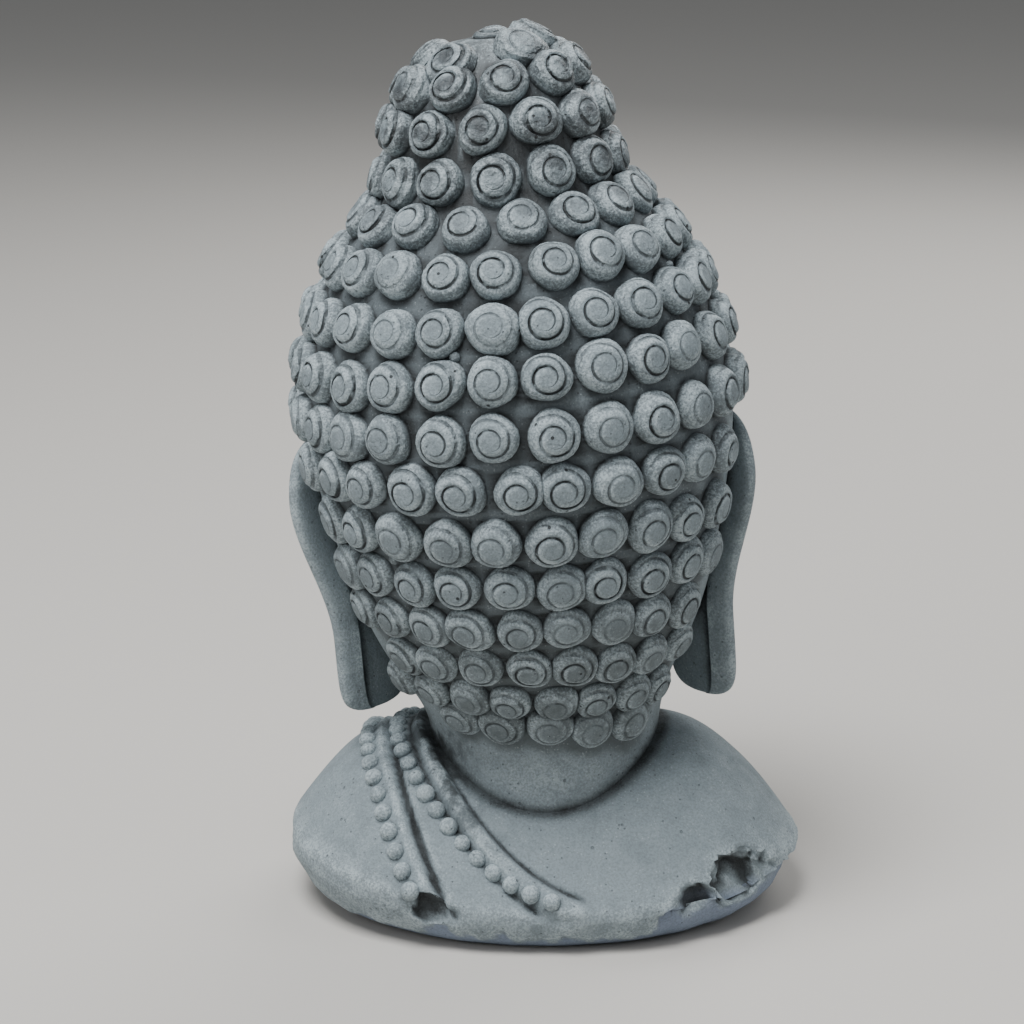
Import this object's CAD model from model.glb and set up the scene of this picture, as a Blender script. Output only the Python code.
import math

import bpy
import numpy as np
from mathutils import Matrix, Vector


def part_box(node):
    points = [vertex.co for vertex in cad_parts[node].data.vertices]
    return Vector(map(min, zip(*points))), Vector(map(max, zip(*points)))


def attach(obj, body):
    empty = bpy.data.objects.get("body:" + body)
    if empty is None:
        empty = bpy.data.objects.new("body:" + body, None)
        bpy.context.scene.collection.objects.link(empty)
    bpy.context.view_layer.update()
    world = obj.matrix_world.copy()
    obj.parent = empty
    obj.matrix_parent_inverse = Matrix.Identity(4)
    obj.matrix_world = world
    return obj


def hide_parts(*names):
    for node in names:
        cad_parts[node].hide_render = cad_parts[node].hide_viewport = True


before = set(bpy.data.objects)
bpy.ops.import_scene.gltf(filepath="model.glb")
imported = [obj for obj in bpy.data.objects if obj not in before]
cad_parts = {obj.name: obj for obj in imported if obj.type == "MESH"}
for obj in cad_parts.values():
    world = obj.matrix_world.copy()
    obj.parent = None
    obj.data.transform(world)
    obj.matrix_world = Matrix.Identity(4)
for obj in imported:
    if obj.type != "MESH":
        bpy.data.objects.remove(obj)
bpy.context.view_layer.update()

bust_low, bust_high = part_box("stone_bust")
MM = 0.001

# ---- viewpoint, floor and light -----------------------------------------------------------------
# The bust is seen from behind and a little above, standing on a pale floor under soft light,
# as if under an overcast sky.
HEIGHT = bust_high.z - bust_low.z
VIEW_DISTANCE = 3.28 * HEIGHT
VIEW_RISE = math.radians(15.0)
VIEW_WIDTH = math.radians(20.0)
aim = Vector((0.039 * HEIGHT, 0.016 * HEIGHT, 0.45 * HEIGHT))

camera = bpy.data.objects.new("camera", bpy.data.cameras.new("camera"))
camera.data.angle = VIEW_WIDTH
camera.location = aim + VIEW_DISTANCE * Vector((0.0, math.cos(VIEW_RISE), math.sin(VIEW_RISE)))
camera.rotation_euler = (aim - camera.location).to_track_quat("-Z", "Y").to_euler()
bpy.context.collection.objects.link(camera)
bpy.context.scene.camera = camera

floor_mesh = bpy.data.meshes.new("floor")
floor_mesh.from_pydata([(-4, -4, 0), (4, -4, 0), (4, 4, 0), (-4, 4, 0)], [], [(0, 1, 2, 3)])
floor = bpy.data.objects.new("floor", floor_mesh)
bpy.context.collection.objects.link(floor)
pale = bpy.data.materials.new("pale_floor")
pale.use_nodes = True
pale_skin = pale.node_tree.nodes["Principled BSDF"]
pale_skin.inputs["Base Color"].default_value = (0.52, 0.50, 0.47, 1.0)
pale_skin.inputs["Roughness"].default_value = 0.9
floor_mesh.materials.append(pale)

world = bpy.data.worlds.new("overcast")
world.use_nodes = True
world.node_tree.nodes["Background"].inputs["Color"].default_value = (0.88, 0.92, 0.96, 1.0)
world.node_tree.nodes["Background"].inputs["Strength"].default_value = 0.22
bpy.context.scene.world = world


def soft_lamp(name, place, size, power, colour):
    """A square lamp of the given size at a place, turned to the middle of the bust."""
    lamp = bpy.data.lights.new(name, "AREA")
    lamp.size = size
    lamp.energy = power
    lamp.color = colour
    holder = bpy.data.objects.new(name, lamp)
    holder.location = place
    holder.rotation_euler = (aim - Vector(place)).to_track_quat("-Z", "Y").to_euler()
    bpy.context.collection.objects.link(holder)


soft_lamp("sky_above", (0.35, 0.42, 1.45), 0.70, 32.0, (0.98, 0.99, 1.0))
soft_lamp("sky_behind", (0.85, 0.85, 0.70), 0.6, 3.6, (1.0, 1.0, 1.0))
soft_lamp("sky_front", (-0.5, -0.95, 0.9), 0.9, 10.0, (1.0, 0.99, 0.97))
soft_lamp("sky_side", (-1.1, 0.3, 0.7), 0.7, 2.4, (0.95, 0.97, 1.0))


# ---- head ---------------------------------------------------------------------------------------
# The head was modelled as an egg with a tall bump on its crown, run softly into a plain neck.
# All forms are cast as one; lengths are millimetres until the casting is closed.
TOP = 247.5
SKULL = {"mid": 142.0, "reach": 58.0, "up": 73.5, "down": 101.0}
CROWN = {"mid": 208.0, "reach": 28.5, "up": 39.5}
NECK_REACH = 33.0
MELT = 8.0                   # usual softness of a join between two forms
HAIR_THICKNESS = 2.0         # the scalp under the curls lies this far inside the skull's egg
HEAD_CENTRE = np.array([0.0, 0.0, 125.0])
NECK_FOOT, NECK_TOP = 26.0, 90.0
EYE_RISE = np.radians(-12.0)  # how steeply a ray from the head's middle falls to the eyes


def smooth(value, low, high):
    """0 below low, 1 above high, and a soft S between."""
    t = np.clip((value - low) / (high - low), 0.0, 1.0)
    return t * t * (3.0 - 2.0 * t)


def between(low, high, share):
    """A value part of the way from low to high."""
    return low + (high - low) * share


def bell(distance, width):
    """1 on a line, falling to about a third at one width from it."""
    return np.exp(-(distance / width) ** 2)


def melt(a, b, softness=MELT):
    """The nearer of two distances, with a fillet where they are about equal."""
    overlap = np.maximum(softness - np.abs(a - b), 0.0) / softness
    return np.minimum(a, b) - overlap ** 2 * softness / 4.0


def ellipsoid(p, centre, radii):
    """Distance to an ellipsoid: how far the scaled point is out, over the slope of that measure."""
    q = (p - np.array(centre)) / np.array(radii)
    inner = np.linalg.norm(q, axis=-1)
    slope = np.linalg.norm(q / np.array(radii), axis=-1)
    return inner * (inner - 1.0) / np.maximum(slope, 1e-6)


def plain_head(p):
    """Distance to the head without a face: skull, crown bump and neck run together.  Where curls
    grow the skull is drawn in: behind from the nape up, and in front from the hairline up."""
    reach = SKULL["reach"]
    upper = ellipsoid(p, (0, 0, SKULL["mid"]), (reach, reach, SKULL["up"]))
    lower = ellipsoid(p, (0, 0, SKULL["mid"]), (reach, reach, SKULL["down"]))
    skull = np.where(p[..., 2] > SKULL["mid"], upper, lower)
    crown = ellipsoid(p, (0, 0, CROWN["mid"]), (CROWN["reach"], CROWN["reach"], CROWN["up"]))
    neck = np.where(p[..., 2] < SKULL["mid"], np.hypot(p[..., 0], p[..., 1]) - NECK_REACH, 99.0)
    ahead = smooth(-p[..., 1], 0.0, 20.0)
    hair = between(smooth(p[..., 2], 108.0, SKULL["mid"]), smooth(p[..., 2], 144.5, 147.5), ahead)
    return melt(melt(skull, crown), neck) - HAIR_THICKNESS * hair


FACE_FORMS = [
    # (x, y, z of the middle), (half sizes), softness of the join; x counts from the middle line
    ((0, -9, 106), (47, 48.5, 54), 8.0),          # full oval of the face
    ((0, -41, 68), (15, 17, 12.5), 8.0),          # chin
    ((0, -42, 82), (20, 13, 13), 9.0),            # round the mouth
    ((23, -37, 96), (19, 17.5, 17), 8.0),         # cheek
]
SOCKET = ((21.5, -63.5, 118.5), (14.5, 9.5, 9), 3.0)
LID = ((21.5, -42, 117.5), (13, 12.5, 9.5), 3.0)
NOSE_FORMS = [
    ((0, -51.5, 113), (5.2, 11, 23), 5.0),        # bridge
    ((0, -57.0, 99), (6.6, 11.5, 6.8), 4.0),      # tip
    ((7.2, -54.0, 97), (4.4, 7.3, 4.6), 2.5),     # wing
]
LIP_FORMS = [
    ((4.0, -49.8, 84.6), (11.0, 9.3, 3.6), 2.5),  # upper lip
    ((2.5, -49.4, 77.9), (9.6, 9.3, 4.2), 2.5),   # lower lip
]


def faced_head(p):
    """Distance to the head with its face: sockets are cut after the cheeks, before lids and nose."""
    q = p.copy()
    q[..., 0] = np.abs(q[..., 0])
    d = plain_head(p)
    for centre, radii, softness in FACE_FORMS:
        d = melt(d, ellipsoid(q, centre, radii), softness)
    socket, socket_radii, socket_softness = SOCKET
    d = -melt(-d, ellipsoid(q, socket, socket_radii), socket_softness)
    for centre, radii, softness in [LID] + NOSE_FORMS + LIP_FORMS:
        d = melt(d, ellipsoid(q, centre, radii), softness)
    return d


def face_lines(p):
    """Small relief of the face along the ray: brow arcs, lid folds, slits, lips and nostrils."""
    x, z = np.abs(p[..., 0]), p[..., 2]
    front = smooth(-p[..., 1], 20.0, 36.0)
    brow = np.hypot(x - 22.5, z - 103.0) - 28.5
    along_brow = smooth(x, 2.0, 9.0) * smooth(-x, -45.0, -34.0) * smooth(z, 108.0, 118.0)
    relief = 1.8 * bell(brow, 1.9) * along_brow - 0.7 * bell(brow + 4.2, 2.0) * along_brow
    slit = z - (112.6 + 2.2 * ((x - 21.5) / 11.5) ** 2)
    in_eye = smooth(12.0 - np.abs(x - 21.5), 0.0, 2.5)
    relief += in_eye * (0.5 * bell(slit - 1.5, 1.1) - 1.2 * bell(slit, 0.6) + 0.45 * bell(slit + 1.6, 1.0))
    fold = np.hypot(x - 21.5, z - 108.5) - 14.8
    relief -= 0.6 * bell(fold, 0.7) * smooth(12.0 - np.abs(x - 21.5), 0.0, 4.0) * smooth(z, 112.0, 117.0)
    mouth = z - (81.0 + 1.9 * (x / 14.0) ** 2 - 0.8 * bell(x, 3.0))
    relief -= 1.4 * bell(mouth, 0.75) * smooth(-x, -15.5, -12.5)
    relief -= 0.8 * bell(np.hypot(x - 15.0, z - 83.2), 1.7)
    relief -= 0.7 * bell(x, 1.6) * smooth(z, 87.0, 88.5) * smooth(-z, -94.5, -92.5)
    relief -= 1.8 * bell(np.hypot((x - 4.0) / 1.5, z - 92.6), 1.1)
    wing = np.hypot(x - 5.5, (z - 97.5) * 0.9) - 7.6
    relief -= 0.6 * bell(wing, 0.8) * smooth(x, 7.0, 10.0) * smooth(-z, -103.0, -99.0) * smooth(z, 90.0, 93.0)
    return relief * front


def ray_reach(form, direction, steps=70):
    """Where rays from the head's middle leave a form, walked in from outside by its distance."""
    reach = np.full(direction.shape[:-1], 150.0)
    for _ in range(steps):
        reach -= 0.8 * form(HEAD_CENTRE + reach[..., None] * direction)
    return reach


def closed_skin(points):
    """A closed mesh from rows of points, each row a ring: the first and last rows are single points.
    Neighbouring rings are joined by quads, the two ends by fans, and all faces are turned outwards."""
    rows, columns = points.shape[:2]
    ring = points[1:-1].reshape(-1, 3)
    vertices = np.concatenate([points[:1, 0], ring, points[-1:, 0]])
    here = 1 + np.arange((rows - 3) * columns).reshape(rows - 3, columns)
    beside = np.roll(here, -1, axis=1)
    quads = np.stack([here, here + columns, beside + columns, beside], axis=-1).reshape(-1, 4)
    first = 1 + np.arange(columns)
    last = first + (rows - 3) * columns
    start = np.stack([np.zeros(columns, int), first, np.roll(first, -1)], axis=-1)
    end = np.stack([np.full(columns, len(vertices) - 1), np.roll(last, -1), last], axis=-1)
    corners = vertices[np.concatenate([quads[:, [0, 1, 2]], quads[:, [0, 2, 3]], start, end])]
    volume = np.einsum("ij,ij->", corners[:, 0], np.cross(corners[:, 1], corners[:, 2]))
    if volume < 0:
        quads, start, end = quads[:, ::-1], start[:, ::-1], end[:, ::-1]
    return vertices, quads, np.concatenate([start, end])


def joined(skins):
    """Several closed skins as one list of vertices, quads and triangles."""
    vertices, quads, triangles, count = [], [], [], 0
    for v, q, t in skins:
        vertices.append(v)
        quads.append(q + count)
        triangles.append(t + count)
        count += len(v)
    return np.concatenate(vertices), np.concatenate(quads), np.concatenate(triangles)


def solid(name, skin):
    """A mesh object made from a skin."""
    vertices, quads, triangles = skin
    mesh = bpy.data.meshes.new(name)
    mesh.from_pydata(vertices, [], quads.tolist() + triangles.tolist())
    mesh.update()
    made = bpy.data.objects.new(name, mesh)
    bpy.context.collection.objects.link(made)
    return made


def head_skin():
    """Rays fan out from the head's middle.  Round the head they stand closest together over the
    face.  Upwards they are even in height on the neck, even in angle to the eyes, and then spread."""
    side = np.linspace(-1.0, 1.0, 171)[:-1]
    bearing = np.pi * (0.42 * side + 0.58 * side ** 3)
    neck_heights = np.linspace(NECK_FOOT, NECK_TOP, 38)
    up_the_neck = -np.arctan((HEAD_CENTRE[2] - neck_heights) / NECK_REACH)
    over_the_face = np.linspace(up_the_neck[-1], EYE_RISE, 34)[1:]
    climb = np.linspace(0.0, 1.0, 74)[1:]
    to_the_top = EYE_RISE + (np.pi / 2 - EYE_RISE) * (0.5 * climb + 0.5 * climb ** 3)
    rise = np.concatenate([[-np.pi / 2], up_the_neck, over_the_face, to_the_top])
    b, r = np.meshgrid(bearing, rise)
    direction = np.stack([np.sin(b) * np.cos(r), -np.cos(b) * np.cos(r), np.sin(r)], axis=-1)
    reach = np.minimum(ray_reach(faced_head, direction), TOP - HEAD_CENTRE[2])
    surface = HEAD_CENTRE + reach[..., None] * direction
    reach = reach + face_lines(surface)
    return closed_skin(HEAD_CENTRE + reach[..., None] * direction)


# ---- curls --------------------------------------------------------------------------------------
# Snail curls, each a round boss with a groove winding out from its middle.  They were pressed into
# the mould one by one, so no two are quite alike; toward the nape they are lower and softer.
CURL_ROWS = [
    # height, curls in a full turn, turn of the row in degrees, how far round each side it runs
    (244.6, 5, 37, 180), (237.8, 10, -9, 180), (227, 12, 7, 180), (214, 13, 2, 180),
    (202.5, 16, -7.5, 180), (191.5, 21, 2, 180), (178.5, 24, 4.5, 180), (164.7, 25, 5.3, 180),
    (150, 25.2, 5.4, 180), (135.8, 26.4, 2.5, 74), (121.2, 25.7, -6.4, 71),
    (107.5, 25.3, 6.5, 68), (94.6, 24.5, 4.6, 68), (82.2, 23, 4, 66), (71, 21.4, -6.4, 62),
    (62, 18, -2, 48),
]
CURL_FILL = 0.475            # share of the pitch along a row that a curl's radius takes
LARGEST_CURL = 7.0
CURL_STANDOFF = 4.5          # the pitch is measured this far out from the scalp
ROW_DROP = 1.2               # the rows sagged this much in the casting
CROWN_RISE, TOP_CURL_RISE = 3.9, 2.0
GROOVE_START = 0.41          # share of the curl's radius at which its groove begins
GROOVE_GROWTH = 1.85         # and how much farther out it lies after each turn
GROOVE_TURNS = 1.45
GROOVE_OFF = (-0.06, -0.04)  # how far its middle lies from the curl's middle, in the same shares
draw = np.random.default_rng(11)


def scalp_reach(height):
    """Radius of the plain head at each height, closed in on from outside."""
    height = np.asarray(height, float)
    reach = np.full(height.shape, 80.0)
    for _ in range(60):
        reach -= plain_head(np.stack([reach, np.zeros_like(reach), height], axis=-1))
    return np.maximum(reach, 0.0)


def curl_places():
    """Middle, outward, rightward and upward direction, radius and rise of every curl.  Curls are
    dealt to seven groups so that no two of one group touch, and each group can be cast on at once."""
    bearings, heights, radii, groups = [0.0], [TOP], [0.62 * LARGEST_CURL], [6]
    for row, (height, count, turn, limit) in enumerate(CURL_ROWS):
        pitch = 2 * math.pi * (float(scalp_reach(height)) + CURL_STANDOFF) / count
        radius = min(CURL_FILL * pitch, LARGEST_CURL)
        tilt = 4 - (height - 60) / 30 - 2.2 * bell(height - 168, 22)
        for k in range(-int(count // 2), int(math.ceil(count / 2))):
            degrees = turn + k * 360 / count
            if abs(degrees) <= limit or limit == 180:
                bearing = math.radians(degrees + draw.normal(0, 0.7))
                bearings.append(bearing)
                heights.append(height - ROW_DROP + tilt * math.sin(bearing) + draw.normal(0, 0.35))
                radii.append(radius * draw.uniform(0.93, 1.03))
                odd_last = count % 2 == 1 and k == -int(count // 2)
                groups.append((row % 2) * 3 + (2 if odd_last else k % 2))
    b, z, radius = np.array(bearings), np.array(heights), np.array(radii)
    reach = np.where(z < TOP, scalp_reach(np.minimum(z, TOP - 0.5)), 0.0)
    slope = np.arctan2(scalp_reach(z - 1) - scalp_reach(np.minimum(z + 1, TOP)), 2.0)
    slope = np.where(z < TOP, slope, np.pi / 2)
    out = np.stack([np.sin(b) * np.cos(slope), np.cos(b) * np.cos(slope), np.sin(slope)], axis=-1)
    right = np.stack([-np.cos(b), np.sin(b), np.zeros_like(b)], axis=-1)
    middle = np.stack([reach * np.sin(b), reach * np.cos(b), z], axis=-1)
    rise = 3.6 + 1.7 * smooth(z, 75.0, 150.0) + draw.normal(0, 0.2, len(z))
    rise = np.where(z > 240, CROWN_RISE, rise)
    rise[0] = TOP_CURL_RISE
    start = draw.normal(0.1, 0.45, len(z))
    depth = np.clip(draw.normal(1.0, 0.3, len(z)), 0.35, 1.5) * (0.6 + 0.4 * smooth(z, 80.0, 140.0))
    return {"middle": middle, "out": out, "right": right, "up": np.cross(out, right), "radius": radius,
            "rise": rise, "start": start, "depth": depth, "group": np.array(groups)}


def groove_turns(share, angle):
    """On a winding groove whose radius grows by a fixed factor each turn: how many turns a point
    lies out from its start, less the part of a turn that the point's own angle makes."""
    around = (angle / (2 * np.pi)) % 1.0
    return np.log(np.maximum(share, 0.02) / GROOVE_START) / math.log(GROOVE_GROWTH) - around, around


def curl_relief(share, angle, radius):
    """Height of a curl's top: each coil sits a step lower than the one inside it and is itself a
    little rounded, and the groove between them fades in at its start and out at its end."""
    turns, around = groove_turns(share, angle)
    nearest = np.round(turns)
    at = nearest + around
    off = (share - GROOVE_START * GROOVE_GROWTH ** at) * radius
    cut = bell(off, 0.45) * smooth(at, -0.05, 0.25) * smooth(-at, -GROOVE_TURNS, -GROOVE_TURNS + 0.3)
    cut = cut * (1 - 0.4 * smooth(at, 0.6, 1.1))
    inner = np.floor(turns)
    coil = np.clip(inner + around, 0.0, GROOVE_TURNS)
    swell = np.sin(np.pi * (turns - inner)) * (inner + around > 0)
    return -0.5 * coil + 0.3 * swell - 0.55 * cut


def curl_skin(places, i):
    """Rings from the curl's middle out to its rim, down its side and under the scalp."""
    columns = 22
    radius, rise = places["radius"][i], places["rise"][i]
    angle = np.linspace(0, 2 * np.pi, columns, endpoint=False)
    shares = np.array([0.0, 0.2, 0.35, 0.45, 0.54, 0.62, 0.70, 0.78, 0.86, 0.93, 0.98, 1.01, 1.03, 0.0])
    levels = np.array([1.0, 1.0, 0.99, 0.98, 0.95, 0.90, 0.84, 0.77, 0.68, 0.56, 0.40, 0.20, -0.2, -1.0])
    s, a = np.meshgrid(shares, angle, indexing="ij")
    squash = 1 + draw.normal(0, 0.03) * np.cos(2 * a + draw.uniform(0, np.pi))
    lump = 1 + 0.025 * np.cos(3 * a + draw.uniform(0, 6)) + 0.015 * np.cos(5 * a + draw.uniform(0, 6))
    top = smooth(-s, -1.0, -0.9) * (levels[:, None] > 0.3)
    height = levels[:, None] * rise
    x, y = s * np.cos(a) - GROOVE_OFF[0], s * np.sin(a) - GROOVE_OFF[1]
    relief = curl_relief(np.hypot(x, y), np.arctan2(y, x) - places["start"][i], radius)
    height = height + top * places["depth"][i] * relief
    across = (s * radius * squash * lump)[..., None]
    tip = draw.normal(0, 0.03, 2)
    height = height + (across[..., 0] * (tip[0] * np.cos(a) + tip[1] * np.sin(a))) * (height > 0)
    points = places["middle"][i] + across * (
        np.cos(a)[..., None] * places["right"][i] + np.sin(a)[..., None] * places["up"][i]
    ) + height[..., None] * places["out"][i]
    return closed_skin(points)


places = curl_places()
CRUMBS = [
    # bearing in degrees, height, radius of the drips of stone left between curls
    (15.5, 170.5, 1.5), (40, 114, 1.6), (17, 169.0, 0.9), (-24, 143, 1.1), (-150, 171, 1.3),
    (92, 158, 1.2), (-8, 101, 1.0), (150, 196, 1.2), (-62, 185, 1.1),
]


def ball_skin(middle, radius):
    """A small ball of rings round its own upright axis."""
    rings, columns = np.linspace(0, np.pi, 8), np.linspace(0, 2 * np.pi, 12, endpoint=False)
    down, turn = np.meshgrid(rings, columns, indexing="ij")
    way = np.stack([np.sin(down) * np.cos(turn), np.sin(down) * np.sin(turn), np.cos(down)], axis=-1)
    return closed_skin(middle + way * radius)


def crumb_skins():
    """A ball half sunk in the scalp for each crumb."""
    skins = []
    for degrees, height, radius in CRUMBS:
        bearing, reach = math.radians(degrees), float(scalp_reach(height)) + 0.3 * radius
        middle = np.array([reach * math.sin(bearing), reach * math.cos(bearing), height])
        skins.append(ball_skin(middle, radius))
    return skins


# ---- ears ---------------------------------------------------------------------------------------
# Long ears set off the head: a shell with a rolled rim above, and a long lobe that hangs free
# beside the nape, slit down its outer side.
EAR = {"mid": 97.3, "half": 41.8, "thick": 3.2, "set_back": -3.0}
LOBE = {"half": 12.5, "reach": 57.6, "flare": math.radians(46)}
SHELL = {"half": 15.0, "reach": 66.0, "flare": math.radians(30)}
RIGHT_EAR_IN = 1.8           # the right ear lies this much closer to the head


def ear_skin(side):
    """A plate with rounded edges: its chord narrows from shell to lobe, it turns outwards by the
    flare, on its outer side a rim stands round a hollow, and the lobe's back has a ridge."""
    climb = np.sin(np.linspace(-np.pi / 2, np.pi / 2, 58))
    turn = np.linspace(0, 2 * np.pi, 44, endpoint=False)
    c, a = np.meshgrid(climb, turn, indexing="ij")
    height = EAR["mid"] + EAR["half"] * c
    upper = smooth(height, 80.0, 124.0)
    flare = between(LOBE["flare"], SHELL["flare"], upper)
    half = between(LOBE["half"], SHELL["half"], upper)
    end = np.clip(1 - np.abs(c) ** np.where(c < 0, 12, 6), 0.0, 1.0) ** np.where(c < 0, 0.35, 0.5)
    chord = np.sign(np.cos(a)) * np.abs(np.cos(a)) ** 0.8
    swell = np.sign(np.sin(a)) * np.abs(np.sin(a)) ** 0.7 * end
    outer = smooth(np.sin(a), 0.0, 0.3)
    inside = smooth(0.72 - np.hypot(chord, (height - 117) / 24.0), -0.06, 0.1)
    slit = bell((chord - 0.05) * half, 1.3) * smooth(height, 64, 70) * smooth(-height, -96, -88)
    thick = EAR["thick"] * swell - outer * (2.8 * inside + 1.3 * slit)
    thick = thick + outer * 0.9 * inside * bell(np.hypot(chord + 0.1, (height - 116) / 26.0) - 0.34, 0.12)
    middle = between(LOBE["reach"], SHELL["reach"], upper) - half * np.sin(flare) - (side < 0) * RIGHT_EAR_IN
    behind = smooth(-np.sin(a), 0.0, 0.3) * smooth(-height, -108.0, -84.0)
    ridge = 1.5 * smooth(0.46 - chord, -0.07, 0.05) - 0.5 * bell((chord - 0.5) * half, 1.1)
    thick = thick + behind * end * ridge
    along = half * chord * end
    points = np.stack([
        side * (middle + along * np.sin(flare) + thick * np.cos(flare)),
        EAR["set_back"] + along * np.cos(flare) - thick * np.sin(flare),
        height,
    ], axis=-1)
    return closed_skin(points)


# ---- shoulders and robe -------------------------------------------------------------------------
# Low rounded shoulders, cut flat below.  A robe lies over the left one: its hem is a round cord
# with beads inside it, and a second beaded fold lies over the shoulder.
SHOULDER_HALF_WIDTH = 74.0
BACK_DEPTH = 57.0
CHEST_DEPTH = 51.0
PLAN_SQUARENESS = 2.3
CREASE = {"side": 50.0, "back_drop": 16.0, "chest_drop": 9.0}
BRIM = {"side": 16.5, "back_drop": 6.0, "chest_drop": 4.5}
FLAT = (56.0, 46.0)          # half width and half depth of the flat underside
BAND_INSET = 0.957           # the smooth band under the brim starts at this share of its reach
LIP_FROM = 0.93              # share of the way out at which the shoulders turn down to the brim
LIP_LOW = 3.8                # height of the stone's lower edge where it hangs
LIP_NOTCHES = [
    # bearing and half width in degrees, and height, of the notches in that edge
    (30.0, 3.5, 5.5), (13.0, 2.5, 2.4), (21.0, 1.5, 1.6), (-6.0, 3.0, 1.2), (52.0, 4.0, 1.5),
]
HEM = (-21.0, 56.5)          # arcs in plan: where the middle lies on the X axis, and the radius
HEM_BEADS = (-12.0, 54.6)
FLAP = (-50.0, 94.8)
FLAP_BEADS = (-50.0, 100.0)
BEAD_RADIUS = 2.65
BEAD_PITCH = 6.2


def oval_height(heights, backward):
    """Height round the bust: greatest at the sides, and lower toward the back and the chest by the
    square of backward, which is 1 straight behind, 0 at the sides and -1 in front."""
    drop = np.where(backward > 0, heights["back_drop"], heights["chest_drop"])
    return heights["side"] - drop * backward ** 2


def shoulder(bearing, outward):
    """The shoulders' skin: radius runs from the neck's crease to an oval brim, and height falls
    from the crease to the brim by a power of how far out the point is."""
    s, c = np.abs(np.sin(bearing)), np.abs(np.cos(bearing))
    depth = np.where(np.cos(bearing) > 0, BACK_DEPTH, CHEST_DEPTH)
    squared = (s / SHOULDER_HALF_WIDTH) ** PLAN_SQUARENESS + (c / depth) ** PLAN_SQUARENESS
    widest = squared ** (-1 / PLAN_SQUARENESS)
    crease = oval_height(CREASE, np.cos(bearing))
    brim = oval_height(BRIM, np.cos(bearing))
    reach = between(NECK_REACH, widest, outward)
    height = brim + (crease - brim) * (1 - np.clip(outward, 0, None) ** (2 - 0.7 * c * c))
    return np.stack([reach * np.sin(bearing), reach * np.cos(bearing), height], axis=-1)


def hanging(bearing):
    """Where the stone hangs below the brim: behind and over the left shoulder."""
    degrees = np.degrees(bearing)
    return smooth(degrees, -36.0, -29.0) * smooth(-degrees, -128.0, -98.0)


def lip_height(bearing):
    """Height of the stone's broken lower edge: almost at the ground, ragged and notched, where the
    stone hangs.  Elsewhere it is a height above the brim, so nothing below the brim is covered."""
    degrees = np.degrees(bearing)
    ragged = 0.55 * np.sin(degrees * 0.61) + 0.5 * np.sin(degrees * 1.13 + 1.0) + 0.3 * np.sin(degrees * 2.3)
    low = LIP_LOW + ragged
    for at, wide, tall in LIP_NOTCHES:
        low = low + tall * bell(degrees - at, wide)
    return between(20.0, low, hanging(bearing))


def from_arc(p, arc):
    """Distance in plan from an arc, positive toward the left shoulder."""
    return np.hypot(p[..., 0] - arc[0], p[..., 1]) - arc[1]


def robe_relief(p):
    """Cloth thickness inside the hem, the hem's cord and its groove, and the fold laid over."""
    hem = from_arc(p, HEM)
    flap = from_arc(p, FLAP)
    relief = 0.5 * smooth(hem, 0.0, 2.0) + 1.9 * np.exp(-np.abs(hem / 2.1) ** 3) - 1.0 * bell(hem - 3.6, 1.2)
    relief -= 0.7 * bell(hem + 2.6, 0.8)
    relief += 1.5 * smooth(flap, 0.0, 1.6) - 1.5 * bell(flap + 0.8, 1.0) + 0.6 * bell(flap - 1.6, 1.1)
    return relief * smooth(p[..., 0], -14.0, -7.0)


def ripple(p, scale, seed):
    """Gentle unevenness: a few sine waves in fixed random directions, added up."""
    waves = np.random.default_rng(seed)
    total = np.zeros(p.shape[:-1])
    for _ in range(9):
        direction = waves.normal(0, 1, 3)
        direction *= waves.uniform(0.6, 1.6) / (np.linalg.norm(direction) * scale)
        total += np.sin(p @ direction * 2 * np.pi + waves.uniform(0, 6.3))
    return total / 3.0


CHIPS = [
    # bearing and rise in degrees of the way each bite faces, radius of the bite, how deep it goes
    (-40.0, 24, 8.0, 4.8), (-45.0, 4, 7.0, 2.4), (-53, 38, 13.0, 6.6), (-59, 26, 12.0, 5.0),
    (-67, 10, 9.0, 2.4), (-74, 0, 7.0, 1.1), (30, 12, 8.0, 3.6), (25.5, -4, 5.0, 2.2),
    (-34, -10, 6.0, 1.3), (138, 0, 7.0, 2.4), (146, -10, 5.5, 1.5), (-118, 5, 7.0, 2.2),
    (-165, -10, 6.5, 1.2),
]


def bitten(p, degrees, rise, radius, depth):
    """Points that lie inside a ball set against the brim move out to the ball's rough surface, which
    leaves a shell-shaped break with a sharp edge."""
    bearing, rise = math.radians(degrees), math.radians(rise)
    way = np.array([math.sin(bearing) * math.cos(rise), math.cos(bearing) * math.cos(rise), math.sin(rise)])
    ball = shoulder(np.array(bearing), 1.0) + way * (radius - depth)
    off = p - ball
    reach = np.linalg.norm(off, axis=-1, keepdims=True)
    rough = radius * (1 + 0.07 * ripple(p, 5.0, 5)[..., None] + 0.05 * ripple(p, 2.6, 6)[..., None])
    return np.where(reach < rough, ball + off / np.maximum(reach, 1e-6) * rough, p)


def under_brim(bearing, brim):
    """Rows from the brim down to the flat along a quarter of an oval, and how much of each point
    is stone that hangs over the band: all at the brim, less toward the lip, and none below it."""
    turn = np.linspace(0.0, np.pi / 2, 12)[:, None]
    low = np.stack([
        between(FLAT[0] * np.sin(bearing), brim[:, 0] * BAND_INSET, np.cos(turn)),
        between(FLAT[1] * np.cos(bearing), brim[:, 1] * BAND_INSET, np.cos(turn)),
        (brim[:, 2] - 0.6 - 0.9 * hanging(bearing)) * (1 - np.sin(turn)),
    ], axis=-1)
    hung = smooth(low[..., 2] - lip_height(bearing), -0.5, 0.5)
    near_brim = 1 - np.clip((brim[:, 2] - low[..., 2]) / 9.0, 0.0, 1.0)
    low[..., :2] *= (1 + hung * (0.014 + 0.017 * near_brim ** 2))[..., None]
    return low, hung * near_brim


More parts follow.
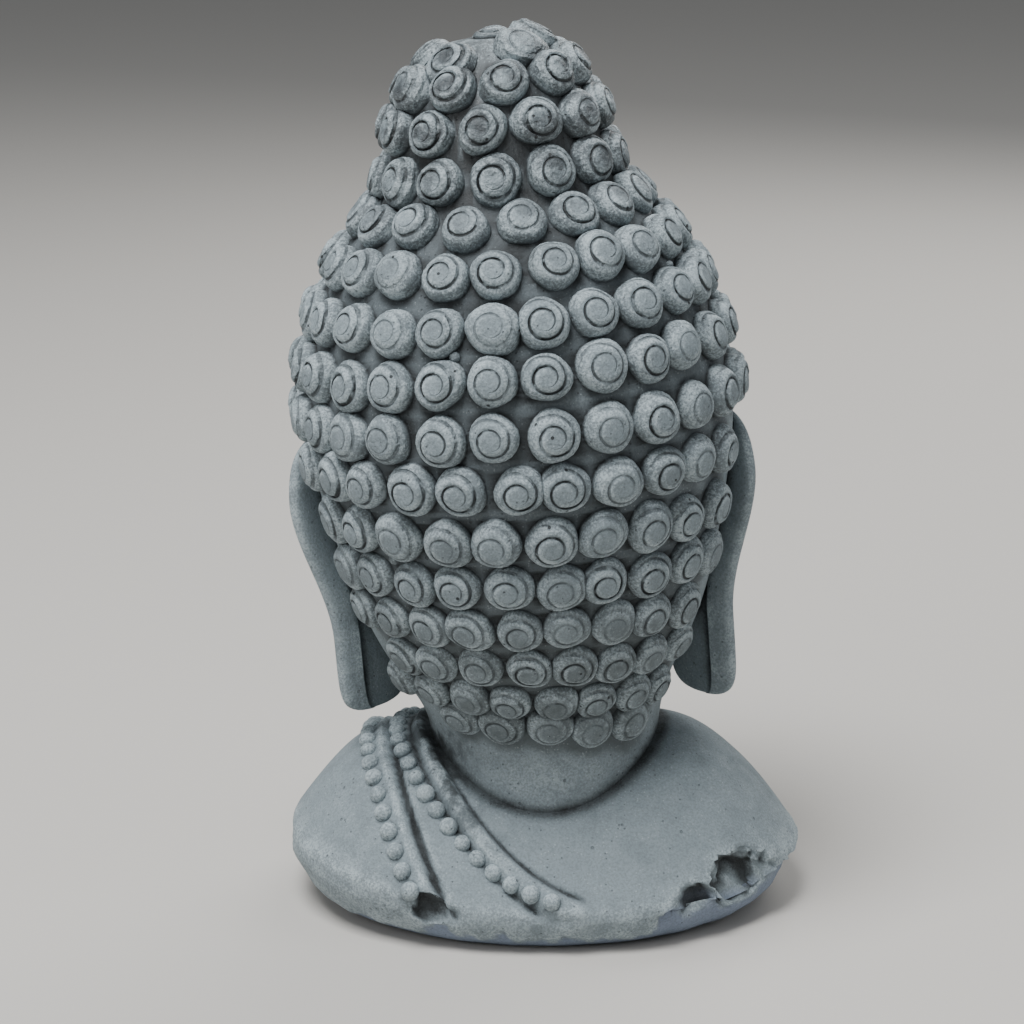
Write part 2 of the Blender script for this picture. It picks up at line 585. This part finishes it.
def shoulder_skin():
    """Rows from inside the neck, over the shoulders to the brim, and under it to the middle of the
    flat.  Relief is added square to the shoulders, and straight sideways below the brim."""
    columns, over = 270, 42
    bearing = np.linspace(-np.pi, np.pi, columns, endpoint=False)
    outward = np.concatenate([[-0.3, -0.12], np.linspace(0.02, 1.0, over - 2)])
    b, o = np.meshgrid(bearing, outward)
    top, brim = shoulder(b, o), shoulder(bearing, 1.0)
    low, cover = under_brim(bearing, brim)
    skin = np.concatenate([top, low])
    is_top = np.concatenate([np.ones(over), np.zeros(len(low))])[:, None]
    shares = np.concatenate([outward, np.ones(len(low))])[:, None]
    turned_down = smooth(shares, LIP_FROM, 1.0)
    push = robe_relief(skin) * smooth(shares, 0.0, 0.1) * is_top * (1 - 0.6 * turned_down)
    push = push + 0.08 * ripple(skin, 22.0, 3) * is_top + 0.25 * ripple(skin, 11.0, 4) * turned_down
    push = push - 1.1 * hanging(bearing) * turned_down ** 2 * is_top
    push[over:] += 0.4 * cover * robe_relief(low) + 0.12 * cover
    sideways = np.stack([np.sin(bearing), np.cos(bearing), np.zeros(columns)], axis=-1)
    away = np.concatenate([shoulder_normal(b, o), np.tile(sideways, (len(low), 1, 1))])
    lifted = skin + push[..., None] * away
    for chip in CHIPS:
        lifted = bitten(lifted, *chip)
    lifted[..., 2] = np.maximum(lifted[..., 2], 0.0)
    lifted[-1, :, 2] = 0.0
    start = np.tile([[[0.0, 0.0, 46.0]]], (1, columns, 1))
    end = np.zeros((1, columns, 3))
    return closed_skin(np.concatenate([start, lifted, end]))


def shoulder_normal(bearing, outward):
    """Outward direction of the shoulders' skin: square to its slopes round and outwards."""
    step = 0.002
    around = shoulder(bearing + step, outward) - shoulder(bearing - step, outward)
    down = shoulder(bearing, outward + step) - shoulder(bearing, np.maximum(outward - step, 0.0))
    normal = np.cross(around, down)
    normal = normal * np.where(normal[..., 2:] < 0, -1.0, 1.0)
    return normal / np.linalg.norm(normal, axis=-1, keepdims=True)


def arc_line(arc, count=4000):
    """Bearing and share outwards along an arc on the shoulders, from its lower end at the back,
    left of the middle, to the brim at the chest."""
    bearing = np.linspace(-0.045, np.pi, count)
    reach = arc[0] * np.sin(bearing) + np.sqrt(np.maximum(arc[1] ** 2 - (arc[0] * np.cos(bearing)) ** 2, 0.0))
    brim = shoulder(bearing, 1.0)
    outward = (reach - NECK_REACH) / (np.hypot(brim[:, 0], brim[:, 1]) - NECK_REACH)
    start = np.argmax(outward < LIP_FROM)
    stop = start + np.argmax(outward[start:] >= LIP_FROM)
    return bearing[start:stop], outward[start:stop]


def bead_skins():
    """Round beads a pitch apart along each arc, set a little into the cloth."""
    skins = []
    for arc in (HEM_BEADS, FLAP_BEADS):
        bearing, outward = arc_line(arc)
        line = shoulder(bearing, outward)
        walked = np.concatenate([[0.0], np.cumsum(np.linalg.norm(np.diff(line, axis=0), axis=-1))])
        steps = np.arange(0.15 * BEAD_PITCH, walked[-1], BEAD_PITCH)
        bearing, outward = np.interp(steps, walked, bearing), np.interp(steps, walked, outward)
        spots = shoulder(bearing, outward)
        spots = spots + shoulder_normal(bearing, outward) * (robe_relief(spots) + 0.1)[:, None]
        for spot in spots:
            skins.append(ball_skin(spot, BEAD_RADIUS * draw.uniform(0.93, 1.05)))
    return skins


# ---- the casting --------------------------------------------------------------------------------
# Everything above is one pour of stone: the forms are joined into one closed skin, the head is
# leaned toward its left shoulder, and the whole is set on its flat underside.
LEAN = math.radians(4.5)
LEAN_PIVOT = 50.0            # height about which the head leans
LEAN_FROM, LEAN_TO = 38.0, 70.0
CURL_GROUPS = 7

casting = solid("bust_of_cast_stone", shoulder_skin())
parts = [("head", head_skin()), ("ears", joined([ear_skin(1), ear_skin(-1)])),
         ("beads", joined(bead_skins())), ("crumbs", joined(crumb_skins()))]
for group in range(CURL_GROUPS):
    members = np.flatnonzero(places["group"] == group)
    parts.append((f"curls_{group}", joined([curl_skin(places, i) for i in members])))
tools = []
for name, skin in parts:
    tool = solid(name, skin)
    tools.append(tool)
    union = casting.modifiers.new(name, "BOOLEAN")
    union.operation = "UNION"
    union.solver = "MANIFOLD"
    union.object = tool
fused = bpy.data.meshes.new_from_object(casting.evaluated_get(bpy.context.evaluated_depsgraph_get()))
casting.modifiers.clear()
casting.data = fused
for tool in tools:
    bpy.data.objects.remove(tool)


def read(items, field, width, kind=np.float64):
    """One field of a mesh's items as an array."""
    values = np.empty(len(items) * width, kind)
    items.foreach_get(field, values)
    return values.reshape(-1, width) if width > 1 else values


upright = read(fused.vertices, "co", 3)


def leaned(p):
    """Turned about the Y axis at the pivot, by an angle that grows from none at the shoulders."""
    angle = LEAN * smooth(p[:, 2], LEAN_FROM, LEAN_TO)
    above = p[:, 2] - LEAN_PIVOT
    return np.stack([
        p[:, 0] * np.cos(angle) + above * np.sin(angle),
        p[:, 1],
        LEAN_PIVOT - p[:, 0] * np.sin(angle) + above * np.cos(angle),
    ], axis=-1)


standing = leaned(upright)
low, high = standing.min(axis=0), standing.max(axis=0)
middle = (low + high) / 2
standing -= np.array([middle[0], middle[1], low[2]])
fused.vertices.foreach_set("co", (standing * MM).astype(np.float32).ravel())
fused.update()


# ---- wear and weather ---------------------------------------------------------------------------
# Rain has washed the tops pale and left grime in every hollow.  Each vertex learns how hollow or
# raised it is, where it lies on its own curl, and which part of the bust it belongs to.
edges = read(fused.edges, "vertices", 2, np.int32)
normals = read(fused.vertices, "normal", 3)
count = len(standing)
both = np.concatenate([edges, edges[:, ::-1]])
neighbours = np.maximum(np.bincount(both[:, 0], minlength=count), 1)


def spread(values, rounds):
    """Values evened out between neighbouring vertices, over and over."""
    values = values.copy()
    for _ in range(rounds):
        if values.ndim == 1:
            total = np.bincount(both[:, 0], values[both[:, 1]], count)
            values += 0.6 * (total / neighbours - values)
        else:
            for k in range(values.shape[1]):
                total = np.bincount(both[:, 0], values[both[:, 1], k], count)
                values[:, k] += 0.6 * (total / neighbours - values[:, k])
    return values


fine = np.einsum("ij,ij->i", spread(standing, 3) - standing, normals)
broad = np.einsum("ij,ij->i", spread(standing, 36) - standing, normals)
crevice = np.clip(0.85 * smooth(spread(fine, 1), 0.03, 0.30) + 0.35 * smooth(broad, 0.2, 1.8), 0, 1)
raised = np.clip(0.6 * smooth(-fine, 0.03, 0.3) + 0.6 * smooth(-broad, 0.1, 1.5), 0, 1)

nearest = np.full(count, 99.0)
owner = np.zeros(count, int)
for i in range(len(places["radius"])):
    gap = np.linalg.norm(upright - places["middle"][i] - 1.5 * places["out"][i], axis=1) / places["radius"][i]
    closer = gap < nearest
    nearest[closer], owner[closer] = gap[closer], i
offset = upright - places["middle"][owner]
u = np.einsum("ij,ij->i", offset, places["right"][owner]) / places["radius"][owner]
v = np.einsum("ij,ij->i", offset, places["up"][owner]) / places["radius"][owner]
lift = np.einsum("ij,ij->i", offset, places["out"][owner])
share = np.hypot(u, v)
on_curl = smooth(-share, -1.03, -0.95) * smooth(lift, 1.0, 2.2)
u, v = u - GROOVE_OFF[0], v - GROOVE_OFF[1]
turn = places["start"][owner]
along = u * np.cos(turn) + v * np.sin(turn)
aside = v * np.cos(turn) - u * np.sin(turn)

curl_tone = np.random.default_rng(5).normal(0.5, 0.2, len(places["radius"]))[owner]
height = upright[:, 2]
from_middle = np.hypot(upright[:, 0], upright[:, 1])
crease = oval_height(CREASE, upright[:, 1] / np.maximum(from_middle, 1e-6))
at_neck = smooth(-np.abs(from_middle - NECK_REACH), -5.0, -1.5) * smooth(-height, -66.0, -58.0)
crevice = between(crevice, 0.85 * bell(height - crease, 1.7), at_neck)
bearing = np.arctan2(upright[:, 0], upright[:, 1])
below_lip = smooth(lip_height(bearing) - height, 0.1, 0.9)
band = smooth(-height, -17.0, -9.0) * smooth(-normals[:, 2], -0.2, 0.15) * below_lip
neck = smooth(-from_middle, -44.0, -35.0) * smooth(-height, -84.0, -72.0) * (1 - on_curl)
scalp = smooth(-nearest, -1.75, -1.25) * (1 - on_curl)
nape = smooth(-height, -112.0, -78.0) * np.maximum(on_curl, scalp)
by_hem = smooth(-np.abs(from_arc(upright, HEM) + 2.0), -9.0, -1.0)
grime = by_hem * smooth(-height, -60.0, -50.0) * smooth(upright[:, 0], 4.0, 30.0)
round_neck = smooth(from_middle, 33.0, 37.0) * smooth(-from_middle, -50.0, -40.0)
hidden = round_neck * smooth(-height, -75.0, -45.0)
crown = smooth(height, 180.0, 226.0)


def store(name, *channels):
    """A vertex attribute of three numbers."""
    kept = fused.attributes.new(name, "FLOAT_VECTOR", "POINT")
    kept.data.foreach_set("vector", np.stack(channels, axis=-1).astype(np.float32).ravel())


store("curl_place", along, aside, on_curl)
store("weather", crevice, raised, band)
store("stain", np.clip(0.8 * neck + 0.3 * hidden, 0, 1), np.clip(grime, 0, 1), crown)
store("tone", np.where(on_curl > 0.05, curl_tone, 0.5), scalp, places["depth"][owner])
store("nape", nape, nape, nape)


# ---- the stone ----------------------------------------------------------------------------------
# Cast concrete, grey with a blue cast: fine sand grain, air-bubble pits, a rain-washed bloom on
# what stands proud, dark grime in what lies deep, and a bluish band below the stone's broken lip.
stone = bpy.data.materials.new("weathered_cast_stone")
stone.use_nodes = True
tree = stone.node_tree
skin = tree.nodes["Principled BSDF"]


def feed(socket, value):
    """A link where the value is another node's socket, else the value itself."""
    if isinstance(value, bpy.types.NodeSocket):
        tree.links.new(value, socket)
    else:
        socket.default_value = value


def sums(operation, a, b=0.0, c=0.0, clamp=False):
    """A Math node on up to three values."""
    made = tree.nodes.new("ShaderNodeMath")
    made.operation = operation
    made.use_clamp = clamp
    for socket, value in zip(made.inputs, (a, b, c)):
        feed(socket, value)
    return made.outputs[0]


def ramp(value, low, high, start=0.0, end=1.0):
    """start below low, end above high, and a soft S between."""
    made = tree.nodes.new("ShaderNodeMapRange")
    made.interpolation_type = "SMOOTHSTEP"
    names = ("Value", "From Min", "From Max", "To Min", "To Max")
    for name, given in zip(names, (value, low, high, start, end)):
        feed(made.inputs[name], given)
    return made.outputs[0]


def blend(share, under, over):
    """Two colours mixed by a share."""
    made = tree.nodes.new("ShaderNodeMix")
    made.data_type = "RGBA"
    made.clamp_factor = True
    feed(made.inputs[0], share)
    for socket, colour in ((made.inputs[6], under), (made.inputs[7], over)):
        feed(socket, (*colour, 1.0) if isinstance(colour, tuple) else colour)
    return made.outputs[2]


where = tree.nodes.new("ShaderNodeTexCoord").outputs["Object"]


def noise(per_metre, detail=3.0, rough=0.55, twist=0.0):
    """Cloudy noise of so many lumps to the metre."""
    made = tree.nodes.new("ShaderNodeTexNoise")
    feed(made.inputs["Vector"], where)
    made.inputs["Scale"].default_value = per_metre
    made.inputs["Detail"].default_value = detail
    made.inputs["Roughness"].default_value = rough
    made.inputs["Distortion"].default_value = twist
    return made.outputs["Fac"]


def spots(per_metre, small, large, chance=0.0):
    """Round spots about scattered points: 1 inside small, 0 outside large, in cells of one spot;
    only the share of cells above chance has one."""
    made = tree.nodes.new("ShaderNodeTexVoronoi")
    feed(made.inputs["Vector"], where)
    made.inputs["Scale"].default_value = per_metre
    dot = ramp(made.outputs["Distance"], small, large, 1.0, 0.0)
    pick = tree.nodes.new("ShaderNodeSeparateColor")
    feed(pick.inputs[0], made.outputs["Color"])
    return sums("MULTIPLY", dot, sums("GREATER_THAN", pick.outputs[0], chance))


def attribute(name):
    """The three channels of a vertex attribute."""
    made = tree.nodes.new("ShaderNodeAttribute")
    made.attribute_name = name
    split = tree.nodes.new("ShaderNodeSeparateXYZ")
    feed(split.inputs[0], made.outputs["Vector"])
    return split.outputs


curl_along, curl_aside, curl_on = attribute("curl_place")
crevice_mask, raised_mask, band_mask = attribute("weather")
neck_mask, grime_mask, crown_mask = attribute("stain")
tone_value, scalp_mask, curl_depth = attribute("tone")
nape_mask = attribute("nape")[0]

# the groove: distance from the nearest turn of the winding line, in shares of the curl's radius
share_out = sums("SQRT", sums("ADD", sums("MULTIPLY", curl_along, curl_along),
                              sums("MULTIPLY", curl_aside, curl_aside)))
turned = sums("DIVIDE", sums("ARCTAN2", curl_aside, curl_along), 2 * math.pi)
wander = sums("MULTIPLY", sums("SUBTRACT", noise(260.0, 2.0), 0.5), 0.10)
in_starts = sums("DIVIDE", sums("MAXIMUM", share_out, 0.05), GROOVE_START)
out_turns = sums("DIVIDE", sums("LOGARITHM", in_starts, math.e), math.log(GROOVE_GROWTH))
off_line = sums("PINGPONG", sums("ADD", sums("SUBTRACT", out_turns, turned), wander), 0.5)
off_share = sums("MULTIPLY", off_line, sums("MULTIPLY", share_out, math.log(GROOVE_GROWTH)))
groove_run = sums("MULTIPLY", ramp(share_out, 0.34, 0.47), ramp(share_out, 0.93, 1.02, 1.0, 0.0))
groove_line = sums("MULTIPLY", sums("MULTIPLY", ramp(off_share, 0.016, 0.062, 1.0, 0.0), groove_run), curl_on)
groove_line = sums("MULTIPLY", groove_line, ramp(curl_depth, 0.3, 1.0, 0.35, 1.0))
groove_line = sums("MULTIPLY", groove_line, ramp(share_out, 0.64, 0.85, 1.0, 0.6))
groove_line = sums("MULTIPLY", groove_line, ramp(noise(300.0, 2.0), 0.36, 0.54, 0.35, 1.0))

clouds = noise(28.0, 4.0, 0.6, 0.4)
mottle = noise(140.0, 4.0, 0.6)
sand = noise(1500.0, 3.0, 0.65)
grit = noise(3600.0, 2.0, 0.6)
pits = spots(240.0, 0.09, 0.13, 0.80)
pinholes = spots(560.0, 0.10, 0.20, 0.72)
flecks = spots(1100.0, 0.14, 0.34, 0.55)

washed = (0.262, 0.318, 0.345)
weathered = (0.140, 0.170, 0.185)
grimy = (0.016, 0.018, 0.019)
pale_bloom = (0.46, 0.54, 0.57)
bluish = (0.205, 0.250, 0.335)
curl_slope = (0.084, 0.103, 0.116)
bare_scalp = (0.070, 0.081, 0.089)
neck_film = (0.150, 0.180, 0.196)
soot = (0.036, 0.042, 0.047)
nape_shade = (0.088, 0.104, 0.106)
pale_fleck = (0.55, 0.62, 0.64)
dark_sand = (0.075, 0.088, 0.095)
groove_dirt = (0.010, 0.012, 0.013)

body = blend(ramp(mottle, 0.30, 0.66, 0.2, 1.0), weathered, washed)
body = blend(ramp(clouds, 0.30, 0.62, 0.15, 0.8), body, washed)
slope = sums("MULTIPLY", curl_on, ramp(share_out, 0.55, 1.0, 0.0, 0.75))
body = blend(slope, body, curl_slope)
body = blend(sums("MULTIPLY", scalp_mask, ramp(clouds, 0.3, 0.65, 0.97, 0.8)), body, bare_scalp)
body = blend(ramp(tone_value, 0.2, 1.0, 0.1, 0.7), body, weathered)
body = blend(sums("MULTIPLY", neck_mask, ramp(clouds, 0.3, 0.6, 0.4, 0.1)), body, neck_film)
body = blend(sums("MULTIPLY", crown_mask, ramp(mottle, 0.36, 0.62, 0.95, 0.0)), body, soot)
body = blend(sums("MULTIPLY", sums("MULTIPLY", crown_mask, slope), 0.9), body, soot)
body = blend(sums("MULTIPLY", nape_mask, ramp(mottle, 0.3, 0.6, 0.8, 0.4)), body, nape_shade)
bloom = ramp(sums("ADD", mottle, sand), 0.85, 1.2, 0.15, 0.7)
body = blend(sums("MULTIPLY", raised_mask, bloom), body, pale_bloom)
body = blend(sums("MULTIPLY", flecks, ramp(mottle, 0.4, 0.6, 0.06, 0.30)), body, pale_fleck)
dirt = sums("MULTIPLY", crevice_mask, ramp(sums("ADD", mottle, sand), 0.7, 1.15, 1.3, 0.9), clamp=True)
body = blend(dirt, body, grimy)
body = blend(sums("MULTIPLY", grime_mask, ramp(mottle, 0.38, 0.60, 0.9, 0.05)), body, grimy)
body = blend(sums("MULTIPLY", band_mask, 0.9), body, bluish)
body = blend(ramp(sand, 0.36, 0.60, 0.30, 0.0), body, dark_sand)
body = blend(sums("MULTIPLY", pinholes, 0.45), body, grimy)
body = blend(sums("MULTIPLY", pits, sums("MULTIPLY_ADD", curl_on, 0.55, 0.35)), body, grimy)
body = blend(sums("MULTIPLY", groove_line, 0.92), body, groove_dirt)
feed(skin.inputs["Base Color"], body)
dull = ramp(mottle, 0.3, 0.7, 0.95, 0.82)
feed(skin.inputs["Roughness"], sums("SUBTRACT", dull, sums("MULTIPLY", crown_mask, 0.38)))
skin.inputs["Specular IOR Level"].default_value = 0.45

relief = sums("MULTIPLY", sand, 0.00022)
relief = sums("ADD", relief, sums("MULTIPLY", grit, 0.00010))
uneven = sums("MULTIPLY_ADD", curl_on, sums("MULTIPLY_ADD", crown_mask, 0.0010, 0.0005), 0.0002)
relief = sums("ADD", relief, sums("MULTIPLY", noise(420.0, 4.0, 0.6), uneven))
relief = sums("SUBTRACT", relief, sums("MULTIPLY", pits, 0.0005))
relief = sums("SUBTRACT", relief, sums("MULTIPLY", pinholes, 0.0002))
relief = sums("SUBTRACT", relief, sums("MULTIPLY", groove_line, 0.0009))
bump = tree.nodes.new("ShaderNodeBump")
bump.inputs["Strength"].default_value = 0.9
bump.inputs["Distance"].default_value = 1.0
feed(bump.inputs["Height"], relief)
feed(skin.inputs["Normal"], bump.outputs["Normal"])

fused.materials.clear()
fused.materials.append(stone)
fused.polygons.foreach_set("material_index", np.zeros(len(fused.polygons), np.int32))
fused.polygons.foreach_set("use_smooth", np.ones(len(fused.polygons), bool))
fused.set_sharp_from_angle(angle=math.radians(52))
fused.update()
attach(casting, "root")
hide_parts("stone_bust")
